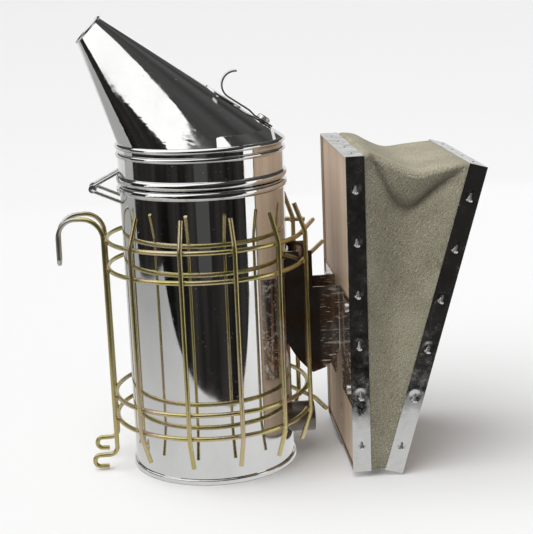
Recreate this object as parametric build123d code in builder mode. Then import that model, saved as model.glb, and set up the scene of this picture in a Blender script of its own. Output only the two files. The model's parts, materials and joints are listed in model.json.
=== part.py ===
from build123d import *
import math
import os

# Bee smoker: a stainless fire pot with a hinged lid and spout, a wire guard around the pot,
# and a spring-loaded bellows held to the pot by a sheet bracket.
# Millimetres. Origin at the centre of the pot's base, +Z up, +X from the pot towards the bellows.

# Fire pot
pot_radius = 50.0
sheet = 0.8
pot_inner_radius = pot_radius - sheet
base_thickness = 1.0
base_seam_radius = 51.4
base_seam_height = 3.2
rim_height = 175.4
bead_reach = 1.9
bead_half_height = 2.7

# Grate and air inlet
grate_height = 38.0
grate_radius = 47.5
grate_thickness = 1.0
grate_hole_radius = 2.8
grate_leg_radius = 42.0
grate_leg_width = 10.0
inlet_height = 22.0
inlet_radius = 9.5
inlet_reach = 64.0
inlet_inner_end = 47.0

# Lid and spout
lid_bead_height = 181.2
lid_skirt_radius = 48.3
lid_skirt_bottom = 170.0
lid_shoulder_height = 203.0
upper_bead_heights = (196.2, 201.3)
upper_bead_half_height = 1.7
upper_bead_reach = 1.5
spout_center_x = -62.65
spout_center_z = 270.1
spout_radius = 9.6
spout_tilt = 45.2
spout_rim_radius = 0.9

# Thumb lift on the back of the cone
lift_width = 9.0
lift_thickness = 1.0
raised_offset = 1.7
curl_start_distance = 40.0
curl_radius = 8.3
curl_turn = 152.0
foot_start_distance = 8.0
foot_end_distance = 20.5
rise_end_distance = 25.0
screw_distance = 14.5
screw_head_radius = 4.2
screw_head_height = 2.4
screw_shank_radius = 2.0
screw_hole_radius = 2.1
pad_distance = 42.0
pad_half_width = 8.0
pad_half_length = 12.5

# Lid hinge
hinge_x = -66.0
hinge_z = 176.0
hinge_pin_radius = 1.0
hinge_clearance = 0.06
hinge_eye_radius = 2.4
staple_half_width = 12.0
staple_foot_x = -44.0
staple_foot_height = 166.0
staple_bend_radius = 2.5
eye_offset = 5.0
eye_width = 2.4
eye_arm_start = (hinge_x + 0.6, hinge_z + 1.7)
eye_arm_end = (-46.0, 187.5)

# Wire guard
wire_radius = 1.4
guard_radius = 60.0
ring_heights = (144.6, 127.2, 47.1, 32.5)
upright_radius = guard_radius + 2 * wire_radius
upright_tip_radius = 56.5
upright_tip_heights = (13.0, 163.0)
upright_bend_heights = (31.0, 146.0)
near_upright_angles = (-17.0, -49.0, -76.5, -105.5, -136.0)
far_upright_angles = (24.0, 49.0, 76.5, 105.5, 136.0)

# Hanging hook
hook_half_width = 13.0
hook_arch_height = 158.6
hook_outer_x = -88.8
hook_tip_height = 130.5

# Bellows bracket
bracket_sheet = 0.9
wing_half_gap = 14.6
wing_bend_radius = 2.5
saddle_bottom = 78.0
saddle_top = 133.0
wing_inner_x = 44.0
wing_inner_bottom = 88.0
wing_hollow_point = (51.5, 68.0)
wing_toe = (62.5, 55.5)
wing_heel = (70.5, 58.3)
wing_corner_point = (79.3, 68.8)
wing_corner_height = 80.0
wing_step_x = 64.0
wing_shelf_height = 110.0
flange_bottom = 44.0
flange_half_width = 50.0
flange_screw_y = 43.0
flange_screw_heights = (52.0, 103.0)
notch_x = 58.4
notch_width = 4.8
notch_depth = 5.0
rivet_angles = (-10.0, 10.0)
rivet_heights = (90.0, 121.0)
rivet_radius = 1.6
rivet_head_radius = 3.0
rivet_head_height = 1.2
rivet_tail_height = 1.0

# Bellows
board_front_x = 81.8
board_thickness = 9.2
board_back_x = board_front_x + board_thickness
board_bottom = 4.0
board_length = 191.0
board_half_width = 55.9
strip_sheet = 0.6
skin_thickness = 0.9
edge_stack = strip_sheet + skin_thickness
strip_lip = 1.5
strip_overhang = 0.2
rear_gap = 9.0
rear_lean = 16.0
air_hole_radius = 4.0
air_hole_height = 24.0
side_nails_start = 18.0
side_nails_pitch = 31.0
side_nails = 6
side_nail_head_radius = 1.7
side_nail_head_height = 0.9
side_nail_stand = 1.3
end_nails_pitch = 27.0
end_nails = 4
end_nail_head_radius = 1.0
end_nail_head_height = 0.4
nail_shank_radius = 0.55
nail_hole_radius = 0.6
nail_depth = 8.0
flange_screw_radius = 1.5
flange_screw_head_radius = 2.8
flange_screw_head_height = 1.6
flange_screw_length = 8.0
spring_radius = 11.0
spring_wire_radius = 0.9
spring_pitch = 7.0
spring_length = 32.0
spring_height = 105.0

spout_top_x = spout_center_x + spout_radius * math.cos(math.radians(spout_tilt))
spout_top_z = spout_center_z + spout_radius * math.sin(math.radians(spout_tilt))
cone_back_angle = math.degrees(
    math.atan2(spout_top_z - lid_shoulder_height, pot_radius - spout_top_x)
)

os.makedirs("parts", exist_ok=True)


def along_cone(distance, offset):
    """Point in the XZ plane, measured up the back of the cone and away from its surface."""
    angle = math.radians(cone_back_angle)
    x = pot_radius - distance * math.cos(angle) + offset * math.sin(angle)
    z = lid_shoulder_height + distance * math.sin(angle) + offset * math.cos(angle)
    return (x, z)


def bead_profile(height, reach, half_height):
    """Half-round bead on the outside of a wall, drawn in the XZ plane."""
    with Locations((pot_inner_radius, height)):
        Ellipse(reach + sheet, half_height)
    with Locations((pot_inner_radius - reach - sheet, height)):
        Rectangle(2 * (reach + sheet), 2 * half_height, mode=Mode.SUBTRACT)


def wall_profile(inner, outer, bottom, top):
    """Rectangle in the XZ plane between two radii and two heights."""
    with Locations(((inner + outer) / 2, (bottom + top) / 2)):
        Rectangle(outer - inner, top - bottom)


def bent_wire(points, bend_radii, radius):
    """Round wire along straight runs joined by tangent bends."""
    with BuildPart() as wire:
        with BuildLine() as route:
            FilletPolyline(*points, radius=bend_radii)
        with BuildSketch(Plane(origin=route.line @ 0, z_dir=route.line % 0)):
            Circle(radius)
        sweep(path=route.line)
    return wire


# ---------------------------------------------------------------- fire pot

rivet_spots = [
    Plane(
        origin=(
            pot_radius * math.cos(math.radians(angle)),
            pot_radius * math.sin(math.radians(angle)),
            height,
        ),
        z_dir=(math.cos(math.radians(angle)), math.sin(math.radians(angle)), 0),
    ).location
    for angle in rivet_angles
    for height in rivet_heights
]

with BuildPart() as pot_shell:
    with BuildSketch(Plane.XZ):
        bead_profile(rim_height, bead_reach, bead_half_height)
        wall_profile(pot_inner_radius, pot_radius, base_thickness, rim_height)
    revolve(axis=Axis.Z)
    with BuildSketch(Plane.YZ.offset(pot_radius - 5)):
        with Locations((0, inlet_height)):
            Circle(inlet_radius)
    extrude(amount=10, mode=Mode.SUBTRACT)
    with Locations(*rivet_spots):
        Cylinder(rivet_radius, 6, mode=Mode.SUBTRACT)
pot_shell.part.label = "fire_pot_shell"
export_step(pot_shell.part, "parts/fire_pot_shell.step")

with BuildPart() as pot_base:
    Cylinder(base_seam_radius, base_seam_height, align=(Align.CENTER, Align.CENTER, Align.MIN))
    fillet(pot_base.edges().group_by(Axis.Z)[-1], 1.0)
    with Locations((0, 0, base_thickness)):
        Cylinder(
            pot_radius,
            base_seam_height,
            align=(Align.CENTER, Align.CENTER, Align.MIN),
            mode=Mode.SUBTRACT,
        )
pot_base.part.label = "fire_pot_base"
export_step(pot_base.part, "parts/fire_pot_base.step")

with BuildPart() as grate:
    with BuildSketch(Plane.XY.offset(grate_height)):
        Circle(grate_radius)
        Circle(grate_hole_radius, mode=Mode.SUBTRACT)
        for ring in (1, 2, 3):
            with PolarLocations(ring * 12.0, ring * 6):
                Circle(grate_hole_radius, mode=Mode.SUBTRACT)
    extrude(amount=grate_thickness)
    with BuildSketch(Plane.XY.offset(base_thickness)):
        with PolarLocations(grate_leg_radius, 3, start_angle=60):
            Rectangle(1.0, grate_leg_width)
    extrude(amount=grate_height - base_thickness)
grate.part.label = "fire_grate"
export_step(grate.part, "parts/fire_grate.step")

with BuildPart() as inlet_tube:
    with BuildSketch(Plane.YZ.offset(inlet_inner_end)):
        with Locations((0, inlet_height)):
            Circle(inlet_radius)
            Circle(inlet_radius - sheet, mode=Mode.SUBTRACT)
    extrude(amount=inlet_reach - inlet_inner_end)
    fillet(inlet_tube.edges().group_by(Axis.X)[-1], 0.3)
inlet_tube.part.label = "air_inlet_tube"
export_step(inlet_tube.part, "parts/air_inlet_tube.step")

# ---------------------------------------------------------------- lid and spout

with BuildPart() as lid_collar:
    with BuildSketch(Plane.XZ):
        bead_profile(lid_bead_height, bead_reach, bead_half_height)
        wall_profile(pot_inner_radius, pot_radius, lid_bead_height, lid_shoulder_height)
        for height in upper_bead_heights:
            bead_profile(height, upper_bead_reach, upper_bead_half_height)
        wall_profile(
            lid_skirt_radius - sheet,
            pot_inner_radius + sheet / 2,
            lid_bead_height - 1.2,
            lid_bead_height,
        )
        wall_profile(lid_skirt_radius - sheet, lid_skirt_radius, lid_skirt_bottom, lid_bead_height)
    revolve(axis=Axis.Z)
lid_collar.part.label = "lid_collar"
export_step(lid_collar.part, "parts/lid_collar.step")

spout_normal = (
    -math.sin(math.radians(spout_tilt)),
    0,
    math.cos(math.radians(spout_tilt)),
)
spout_plane = Plane(
    origin=(spout_center_x, 0, spout_center_z), x_dir=(0, 1, 0), z_dir=spout_normal
)


def cone_solid(extra):
    """Solid oblique cone from the lid's shoulder to the mouth, grown outwards by extra."""
    with BuildPart() as cone:
        with BuildSketch(Plane.XY.offset(lid_shoulder_height)):
            Circle(pot_radius + extra)
        with BuildSketch(spout_plane):
            Circle(spout_radius + extra)
        loft(ruled=True)
    return cone


cone_outside = cone_solid(0.0)
cone_inside = cone_solid(-sheet)
pad_outside = cone_solid(sheet)

screw_foot = along_cone(screw_distance, 0.0)
cone_back_normal = (
    math.sin(math.radians(cone_back_angle)),
    0,
    math.cos(math.radians(cone_back_angle)),
)
screw_plane = Plane(
    origin=(screw_foot[0], 0, screw_foot[1]), x_dir=(0, 1, 0), z_dir=cone_back_normal
)

with BuildPart() as spout_cone:
    add(cone_outside.part)
    add(cone_inside.part, mode=Mode.SUBTRACT)
    with BuildSketch(Plane.XZ):
        with Locations((spout_top_x, spout_top_z)):
            Circle(spout_rim_radius)
    revolve(axis=Axis((spout_center_x, 0, spout_center_z), spout_normal))
    with BuildSketch(screw_plane.offset(-6)):
        Circle(screw_hole_radius)
    extrude(amount=12, mode=Mode.SUBTRACT)
spout_cone.part.label = "spout_cone"
export_step(spout_cone.part, "parts/spout_cone.step")

pad_spot = along_cone(pad_distance, 0.0)
pad_plane = Plane(
    origin=(pad_spot[0], 0, pad_spot[1]), x_dir=(0, 1, 0), z_dir=cone_back_normal
)
with BuildPart() as lift_pad:
    with BuildSketch(pad_plane.offset(-8)):
        Ellipse(pad_half_width, pad_half_length)
    extrude(amount=16)
    add(pad_outside.part, mode=Mode.INTERSECT)
    add(cone_outside.part, mode=Mode.SUBTRACT)
lift_pad.part.label = "lift_pad"
export_step(lift_pad.part, "parts/lift_pad.step")

foot_offset = 0.15 + lift_thickness / 2
with BuildPart() as thumb_lift:
    with BuildSketch(Plane.XZ) as lift_side:
        with BuildLine():
            foot = Polyline(
                along_cone(foot_start_distance, foot_offset),
                along_cone(foot_end_distance, foot_offset),
                along_cone(rise_end_distance, raised_offset),
                along_cone(curl_start_distance, raised_offset),
            )
            JernArc(foot @ 1, foot % 1, curl_radius, -curl_turn)
        trace(line_width=lift_thickness)
    extrude(amount=lift_width / 2, both=True)
    with BuildSketch(screw_plane.offset(-2)):
        Circle(screw_hole_radius)
    extrude(amount=6, mode=Mode.SUBTRACT)
thumb_lift.part.label = "thumb_lift"
export_step(thumb_lift.part, "parts/thumb_lift.step")

with BuildPart() as lift_screw:
    with BuildSketch(screw_plane.offset(foot_offset + lift_thickness / 2)):
        Circle(screw_head_radius)
    extrude(amount=screw_head_height)
    fillet(lift_screw.edges().filter_by(GeomType.CIRCLE).sort_by(Axis.Z)[-1], 1.6)
    with BuildSketch(screw_plane.offset(foot_offset + lift_thickness / 2 + screw_head_height / 2)):
        Rectangle(5.4, 1.1)
        Rectangle(1.1, 5.4)
    extrude(amount=2, mode=Mode.SUBTRACT)
    with BuildSketch(screw_plane.offset(foot_offset + lift_thickness / 2)):
        Circle(screw_shank_radius)
    extrude(amount=-7)
lift_screw.part.label = "lift_screw"
export_step(lift_screw.part, "parts/lift_screw.step")

with BuildPart() as lift_nut:
    with BuildSketch(screw_plane.offset(-1.4)):
        RegularPolygon(3.9, 6)
        Circle(screw_shank_radius, mode=Mode.SUBTRACT)
    extrude(amount=-3)
lift_nut.part.label = "lift_nut"
export_step(lift_nut.part, "parts/lift_nut.step")

# ---------------------------------------------------------------- lid hinge

with BuildPart() as hinge_staple:
    with BuildLine() as staple_route:
        FilletPolyline(
            (staple_foot_x, -staple_half_width, staple_foot_height),
            (hinge_x, -staple_half_width, hinge_z),
            (hinge_x, staple_half_width, hinge_z),
            (staple_foot_x, staple_half_width, staple_foot_height),
            radius=staple_bend_radius,
        )
    with BuildSketch(
        Plane(origin=staple_route.line @ 0, z_dir=staple_route.line % 0)
    ):
        Circle(hinge_pin_radius)
    sweep(path=staple_route.line)
    Cylinder(pot_radius, 400, mode=Mode.SUBTRACT)
hinge_staple.part.label = "pot_hinge_staple"
export_step(hinge_staple.part, "parts/pot_hinge_staple.step")

with BuildPart() as hinge_eyes:
    for side in (-1, 1):
        with BuildSketch(Plane.XZ.offset(-side * eye_offset)):
            with Locations((hinge_x, hinge_z)):
                Circle(hinge_eye_radius)
        extrude(amount=eye_width / 2, both=True)
        with BuildLine():
            arm = Line(
                (eye_arm_start[0], side * eye_offset, eye_arm_start[1]),
                (eye_arm_end[0], side * eye_offset, eye_arm_end[1]),
            )
        with BuildSketch(Plane(origin=arm @ 0, z_dir=arm % 0)):
            Circle(hinge_pin_radius)
        sweep(path=arm)
    with BuildSketch(Plane.XZ):
        with Locations((hinge_x, hinge_z)):
            Circle(hinge_pin_radius + hinge_clearance)
    extrude(amount=20, both=True, mode=Mode.SUBTRACT)
    Cylinder(pot_radius, 500, mode=Mode.SUBTRACT)
hinge_eyes.part.label = "lid_hinge_eyes"
export_step(hinge_eyes.part, "parts/lid_hinge_eyes.step")

# ---------------------------------------------------------------- wire guard


def guard_ring(height, start_angle, near_run, end_angle, far_runs, far_bend_radius, far_bend):
    """Guard hoop: a straight near end, an arc round the left of the pot, a bent far end."""
    with BuildPart() as ring:
        with BuildLine(Plane.XY.offset(height)) as route:
            arc = CenterArc((0, 0), guard_radius, start_angle, end_angle - start_angle - 360)
            if near_run:
                Line(arc @ 0 - (arc % 0) * near_run, arc @ 0)
            if far_bend:
                lead = Line(arc @ 1, arc @ 1 + (arc % 1) * far_runs[0])
                bend = JernArc(lead @ 1, lead % 1, far_bend_radius, far_bend)
                Line(bend @ 1, bend @ 1 + (bend % 1) * far_runs[1])
        route_wire = route.wires()[0]
        with BuildSketch(Plane(origin=route_wire @ 0, z_dir=route_wire % 0)):
            Circle(wire_radius)
        sweep(path=route_wire)
    return ring


top_ring = guard_ring(ring_heights[0], -17.0, 42.0, 35.0, (1.0, 9.5), 12.0, 37.5)
notch_ring = guard_ring(ring_heights[1], -20.0, 60.0, 23.0, (), 0.0, 0.0)
with BuildPart() as closed_ring:
    with Locations((0, 0, ring_heights[2])):
        Torus(guard_radius, wire_radius)
inlet_ring = guard_ring(ring_heights[3], -16.0, 0.0, 27.0, (22.0, 18.0), 30.0, -16.0)
for number, ring in enumerate((top_ring, notch_ring, closed_ring, inlet_ring), start=1):
    ring.part.label = f"guard_ring_{number}"
    export_step(ring.part, f"parts/guard_ring_{number}.step")

for number, angle in enumerate(near_upright_angles + far_upright_angles, start=1):
    across = Plane.XZ.rotated((0, 0, angle))
    with BuildPart() as upright:
        with BuildLine(across) as upright_route:
            FilletPolyline(
                (upright_tip_radius, upright_tip_heights[0]),
                (upright_radius, upright_bend_heights[0]),
                (upright_radius, upright_bend_heights[1]),
                (upright_tip_radius, upright_tip_heights[1]),
                radius=12.0,
            )
        with BuildSketch(
            Plane(origin=upright_route.line @ 0, z_dir=upright_route.line % 0)
        ):
            Circle(wire_radius)
        sweep(path=upright_route.line)
    upright.part.label = f"guard_upright_{number:02d}"
    export_step(upright.part, f"parts/guard_upright_{number:02d}.step")

hook_x = -math.sqrt(upright_radius**2 - hook_half_width**2)
hook = bent_wire(
    [
        (-67.0, -hook_half_width, 2.2),
        (-75.6, -hook_half_width, 2.6),
        (-75.6, -hook_half_width, 9.6),
        (hook_x, -hook_half_width, 9.6),
        (hook_x, -hook_half_width, hook_arch_height),
        (hook_outer_x, -5.5, hook_arch_height),
        (hook_outer_x - 0.4, -3.9, hook_tip_height),
        (hook_outer_x - 0.4, 3.9, hook_tip_height),
        (hook_outer_x, 5.5, hook_arch_height),
        (hook_x, hook_half_width, hook_arch_height),
        (hook_x, hook_half_width, 11.8),
        (-75.0, hook_half_width, 11.8),
        (-75.0, hook_half_width, 5.0),
        (-67.5, hook_half_width, 4.6),
    ],
    [3.3, 3.3, 5.0, 12.5, 12.5, 3.4, 3.4, 12.5, 12.5, 5.0, 3.2, 3.2],
    wire_radius,
)
hook.part.label = "hanging_hook"
export_step(hook.part, "parts/hanging_hook.step")

# ---------------------------------------------------------------- bellows bracket

flange_screw_spots = [
    (side * flange_screw_y, height) for side in (-1, 1) for height in flange_screw_heights
]
flange_front_x = board_front_x - bracket_sheet
wing_outside_y = wing_half_gap + bracket_sheet

with BuildPart() as bracket:
    with BuildSketch(Plane.XZ):
        with BuildLine():
            Polyline(
                (wing_inner_x, wing_inner_bottom),
                (wing_inner_x, saddle_top),
                (wing_step_x, saddle_top),
                (wing_step_x, wing_shelf_height),
                (board_front_x, wing_shelf_height),
                (board_front_x, wing_corner_height),
            )
            ThreePointArc((board_front_x, wing_corner_height), wing_corner_point, wing_heel)
            Line(wing_heel, wing_toe)
            ThreePointArc(wing_toe, wing_hollow_point, (wing_inner_x, wing_inner_bottom))
        make_face()
    extrude(amount=wing_half_gap + bracket_sheet, both=True)
    with BuildSketch(Plane.XZ):
        with Locations((board_front_x - 20, saddle_bottom)):
            Rectangle(60, 160)
    extrude(amount=wing_half_gap, both=True, mode=Mode.SUBTRACT)
    with BuildSketch(Plane.XZ):
        with Locations((notch_x, ring_heights[1] + notch_depth)):
            Rectangle(notch_width, 2 * (notch_depth + wire_radius))
    extrude(amount=wing_half_gap + bracket_sheet + 1, mode=Mode.SUBTRACT)
    with BuildSketch(Plane.XY.offset(saddle_bottom)):
        Circle(pot_radius + bracket_sheet)
        with Locations((pot_radius, 0)):
            Rectangle(20, 2 * (wing_half_gap + bracket_sheet), mode=Mode.INTERSECT)
    extrude(amount=saddle_top - saddle_bottom)
    with BuildSketch(Plane.YZ.offset(flange_front_x)):
        with Locations((0, (flange_bottom + wing_shelf_height) / 2)):
            Rectangle(2 * flange_half_width, wing_shelf_height - flange_bottom)
            Rectangle(
                2 * wing_half_gap,
                wing_shelf_height - flange_bottom,
                mode=Mode.SUBTRACT,
            )
    extrude(amount=bracket_sheet)
    wing_corners = bracket.edges().filter_by(Axis.Z).filter_by_position(
        Axis.X, flange_front_x - 0.1, flange_front_x + 0.1
    )
    fillet(
        [edge for edge in wing_corners if abs(abs(edge.center().Y) - wing_outside_y) < 0.1],
        wing_bend_radius,
    )
    Cylinder(pot_radius, 400, mode=Mode.SUBTRACT)
    with Locations(*rivet_spots):
        Cylinder(rivet_radius, 6, mode=Mode.SUBTRACT)
    with BuildSketch(Plane.YZ.offset(flange_front_x - 1)):
        with Locations(*flange_screw_spots):
            Circle(flange_screw_radius + 0.1)
    extrude(amount=3, mode=Mode.SUBTRACT)
bracket.part.label = "bellows_bracket"
export_step(bracket.part, "parts/bellows_bracket.step")

with BuildPart() as rivets:
    with Locations(*rivet_spots):
        Cylinder(rivet_radius, 3.0)
        with Locations((0, 0, bracket_sheet + rivet_head_height / 2)):
            Cylinder(rivet_head_radius, rivet_head_height)
        with Locations((0, 0, -sheet - rivet_tail_height / 2 - 0.1)):
            Cylinder(rivet_head_radius, rivet_tail_height)
rivets.part.label = "bracket_rivets"
export_step(rivets.part, "parts/bracket_rivets.step")

flange_screw_locations = [
    Plane(origin=(flange_front_x, y, height), z_dir=(-1, 0, 0)).location
    for y, height in flange_screw_spots
]
with BuildPart() as flange_screws:
    with Locations(*flange_screw_locations):
        with Locations((0, 0, flange_screw_head_height / 2)):
            Cylinder(flange_screw_head_radius, flange_screw_head_height)
            Box(4.0, 0.9, 1.2, align=(Align.CENTER, Align.CENTER, Align.MIN), mode=Mode.SUBTRACT)
        Cylinder(
            flange_screw_radius,
            flange_screw_length,
            align=(Align.CENTER, Align.CENTER, Align.MAX),
        )
flange_screws.part.label = "bracket_screws"
export_step(flange_screws.part, "parts/bracket_screws.step")

# ---------------------------------------------------------------- bellows

front_plane = Plane(origin=(board_back_x, 0, board_bottom), x_dir=(-1, 0, 0), z_dir=(0, 0, 1))
rear_slope = math.radians(rear_lean)
rear_plane = Plane(
    origin=(board_back_x + rear_gap, 0, board_bottom),
    x_dir=(math.cos(rear_slope), 0, -math.sin(rear_slope)),
    z_dir=(math.sin(rear_slope), 0, math.cos(rear_slope)),
)
strip_width = board_thickness + strip_lip + strip_overhang
strip_middle = (board_thickness + strip_lip - strip_overhang) / 2
side_nail_heights = [side_nails_start + side_nails_pitch * index for index in range(side_nails)]
end_nail_places = [end_nails_pitch * (index - (end_nails - 1) / 2) for index in range(end_nails)]


def side_nail_locations(plane):
    """Places on the outside of the near and far strips, one for each nail, facing outwards."""
    return [
        plane.location
        * Plane(origin=(strip_middle, side * board_half_width, height), z_dir=(0, side, 0)).location
        for height in side_nail_heights
        for side in (-1, 1)
    ]


def end_nail_locations(plane):
    """Places on the outside of the bottom and top strips, one for each nail, facing outwards."""
    return [
        plane.location
        * Plane(origin=(strip_middle, place, height), z_dir=(0, 0, facing)).location
        for place in end_nail_places
        for height, facing in ((0, -1), (board_length, 1))
    ]


def drill_nail_holes(plane):
    """Cut the nail holes through the part that is being built."""
    with Locations(*side_nail_locations(plane), *end_nail_locations(plane)):
        Cylinder(
            nail_hole_radius,
            nail_depth + 2,
            align=(Align.CENTER, Align.CENTER, Align.MAX),
            mode=Mode.SUBTRACT,
        )


def bellows_board(plane):
    """Wooden board without its edging; local x points out of the bellows, z along the board."""
    with BuildPart() as board:
        with BuildSketch(plane.offset(edge_stack)):
            with Locations((board_thickness / 2, 0)):
                Rectangle(board_thickness, 2 * (board_half_width - edge_stack))
        extrude(amount=board_length - 2 * edge_stack)
        drill_nail_holes(plane)
    return board


def side_strip(plane, side):
    """Metal strip along the near or far edge of a board."""
    with BuildPart() as strip:
        with BuildSketch(plane.offset(strip_sheet)):
            with Locations((strip_middle, side * (board_half_width - strip_sheet / 2))):
                Rectangle(strip_width, strip_sheet)
        extrude(amount=board_length - 2 * strip_sheet)
        drill_nail_holes(plane)
    return strip


def end_strip(plane, height):
    """Metal strip across the top or bottom edge of a board."""
    with BuildPart() as strip:
        with BuildSketch(plane.offset(height)):
            with Locations((strip_middle, 0)):
                Rectangle(strip_width, 2 * board_half_width)
        extrude(amount=strip_sheet)
        drill_nail_holes(plane)
    return strip


def nails_at(locations, stand, head_radius, head_height):
    """Nails with a thin shank, and a round head whose underside is stand above the strip."""
    with Locations(*locations):
        with Locations((0, 0, stand)):
            Cylinder(
                nail_shank_radius,
                nail_depth + stand,
                align=(Align.CENTER, Align.CENTER, Align.MAX),
            )
            Cylinder(head_radius, head_height, align=(Align.CENTER, Align.CENTER, Align.MIN))


def nail_group(plane):
    """All the nails of one board: proud heads on the sides, small low heads on the ends."""
    with BuildPart() as nails:
        nails_at(
            side_nail_locations(plane),
            side_nail_stand,
            side_nail_head_radius,
            side_nail_head_height,
        )
        nails_at(end_nail_locations(plane), 0.0, end_nail_head_radius, end_nail_head_height)
    return nails


front_board = bellows_board(front_plane)
with BuildPart() as drilled_front_board:
    add(front_board.part)
    with BuildSketch(Plane.YZ.offset(board_front_x - 1)):
        with Locations((0, air_hole_height)):
            Circle(air_hole_radius)
    extrude(amount=board_thickness + 2, mode=Mode.SUBTRACT)
    with BuildSketch(Plane.YZ.offset(board_front_x)):
        with Locations(*flange_screw_spots):
            Circle(flange_screw_radius + 0.1)
    extrude(amount=flange_screw_length, mode=Mode.SUBTRACT)
drilled_front_board.part.label = "front_board"
export_step(drilled_front_board.part, "parts/front_board.step")

rear_board = bellows_board(rear_plane)
rear_board.part.label = "rear_board"
export_step(rear_board.part, "parts/rear_board.step")

for name, plane in (("front", front_plane), ("rear", rear_plane)):
    near_side = 1 if name == "front" else -1
    for place, strip in (
        ("near", side_strip(plane, near_side)),
        ("far", side_strip(plane, -near_side)),
        ("bottom", end_strip(plane, 0.0)),
        ("top", end_strip(plane, board_length - strip_sheet)),
    ):
        strip.part.label = f"{name}_edging_{place}"
        export_step(strip.part, f"parts/{name}_edging_{place}.step")
    nails = nail_group(plane)
    nails.part.label = f"{name}_nails"
    export_step(nails.part, f"parts/{name}_nails.step")

spring_axis_start = (board_back_x + spring_wire_radius + 0.1, 0, spring_height)
with BuildPart() as bellows_spring:
    with BuildLine() as coil:
        Helix(
            pitch=spring_pitch,
            height=spring_length,
            radius=spring_radius,
            center=spring_axis_start,
            direction=(1, 0, 0),
        )
    with BuildSketch(Plane(origin=coil.line @ 0, z_dir=coil.line % 0)):
        Circle(spring_wire_radius)
    sweep(path=coil.line, is_frenet=True)
bellows_spring.part.label = "bellows_spring"
export_step(bellows_spring.part, "parts/bellows_spring.step")

rear_inner_bottom = rear_plane.from_local_coords((0, 0, edge_stack))
rear_inner_top = rear_plane.from_local_coords((0, 0, board_length - edge_stack))
front_inner_bottom = (board_back_x, board_bottom + edge_stack)
front_inner_top = (board_back_x, board_bottom + board_length - edge_stack)
with BuildPart() as bellows_skin:
    with BuildSketch(Plane.XZ):
        with BuildLine():
            Polyline(
                front_inner_bottom,
                (rear_inner_bottom.X, rear_inner_bottom.Z),
                (rear_inner_top.X, rear_inner_top.Z),
                front_inner_top,
                close=True,
            )
        make_face()
    extrude(amount=board_half_width - strip_sheet, both=True)
    with BuildSketch(Plane.XZ):
        with BuildLine():
            Polyline(
                (board_back_x - 5, board_bottom + edge_stack + skin_thickness),
                (rear_inner_bottom.X + 5, rear_inner_bottom.Z + skin_thickness),
                (rear_inner_top.X + 2.0, rear_inner_top.Z - skin_thickness),
                (board_back_x - 5, board_bottom + board_length - edge_stack - skin_thickness),
                close=True,
            )
        make_face()
    extrude(amount=board_half_width - edge_stack, both=True, mode=Mode.SUBTRACT)
bellows_skin.part.label = "bellows_skin"
export_step(bellows_skin.part, "parts/bellows_skin.step")
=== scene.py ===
import json
import math
import random

import bpy
from mathutils import Matrix, Vector, noise


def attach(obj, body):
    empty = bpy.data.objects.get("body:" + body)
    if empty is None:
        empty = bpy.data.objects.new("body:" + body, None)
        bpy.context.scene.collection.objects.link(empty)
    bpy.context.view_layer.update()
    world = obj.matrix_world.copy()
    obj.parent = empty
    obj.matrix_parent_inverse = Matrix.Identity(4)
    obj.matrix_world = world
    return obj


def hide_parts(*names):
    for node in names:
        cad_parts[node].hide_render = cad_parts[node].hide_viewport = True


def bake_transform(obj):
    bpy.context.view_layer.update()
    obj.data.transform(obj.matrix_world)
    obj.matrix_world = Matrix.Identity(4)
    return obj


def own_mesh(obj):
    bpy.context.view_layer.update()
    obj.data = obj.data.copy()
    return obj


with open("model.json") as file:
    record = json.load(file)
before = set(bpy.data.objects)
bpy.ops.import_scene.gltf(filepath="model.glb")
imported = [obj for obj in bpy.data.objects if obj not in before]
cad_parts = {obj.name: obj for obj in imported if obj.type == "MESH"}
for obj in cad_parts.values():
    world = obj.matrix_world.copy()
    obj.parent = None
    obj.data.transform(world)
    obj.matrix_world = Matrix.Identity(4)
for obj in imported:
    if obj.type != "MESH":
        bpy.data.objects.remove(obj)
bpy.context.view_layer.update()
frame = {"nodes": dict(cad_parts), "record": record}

nodes = frame["nodes"]
rng = random.Random(7)
MM = 0.001

# Bellows, in the same sizes as the CAD boards
BOARD_LENGTH = 191.0 * MM
BOARD_HALF_WIDTH = 55.9 * MM
BOARD_BOTTOM = 4.0 * MM
FRONT_BACK_X = 91.0 * MM
REAR_FOOT_X = 100.0 * MM
REAR_LEAN = math.radians(16.0)
STRIP_MIDDLE = 5.25 * MM
SIDE_NAILS_START = 18.0 * MM
SIDE_NAILS_PITCH = 31.0 * MM
SIDE_NAILS = 6
END_NAILS_PITCH = 27.0 * MM
END_NAILS = 4

# Marks in the metal: the dent round a side nail, the cone's flared foot, the bracket's wings
DENT_DEPTH = 0.26 * MM
DENT_INSIDE = 1.0 * MM
DENT_OUTSIDE = 4.2 * MM
SHOULDER = 203.0 * MM
FLARE_HEIGHT = 5.5 * MM
FLARE_START = 8.0 * MM
FLARE_END = 42.0 * MM
FLARE_REACH = 2.2 * MM
FLARE_RAMP_IN = 3.0 * MM
FLARE_RAMP_OUT = 2.0 * MM
WING_START = 70.0 * MM
WING_BLUR = 3.0 * MM

# The hook: where along its reach the plating gives way to bare zinc, and how high that begins
HOOK_PLATED = -60.0 * MM
HOOK_BARE = -72.0 * MM
HOOK_BARE_LOW = 100.0 * MM
HOOK_BARE_HIGH = 130.0 * MM

# The leatherette: the slant of its rib, and the attribute that says how much painted shade each
# point gets in the crease
RIB_SLANT = math.radians(38.0)
CREASE_SHADE = "crease_painted_shade"

# The colour sockets of Blender's Mix node, which have the same names as its other sockets
MIX_FIRST, MIX_SECOND, MIX_RESULT = 6, 7, 2


def board_frame(foot_x, outward, along):
    """Matrix from a board's own axes (outwards, across, up along the board) to the row frame."""
    across = Vector((0.0, 1.0, 0.0))
    columns = Matrix((outward, across, along)).transposed().to_4x4()
    columns.translation = Vector((foot_x, 0.0, BOARD_BOTTOM))
    return columns


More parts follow.
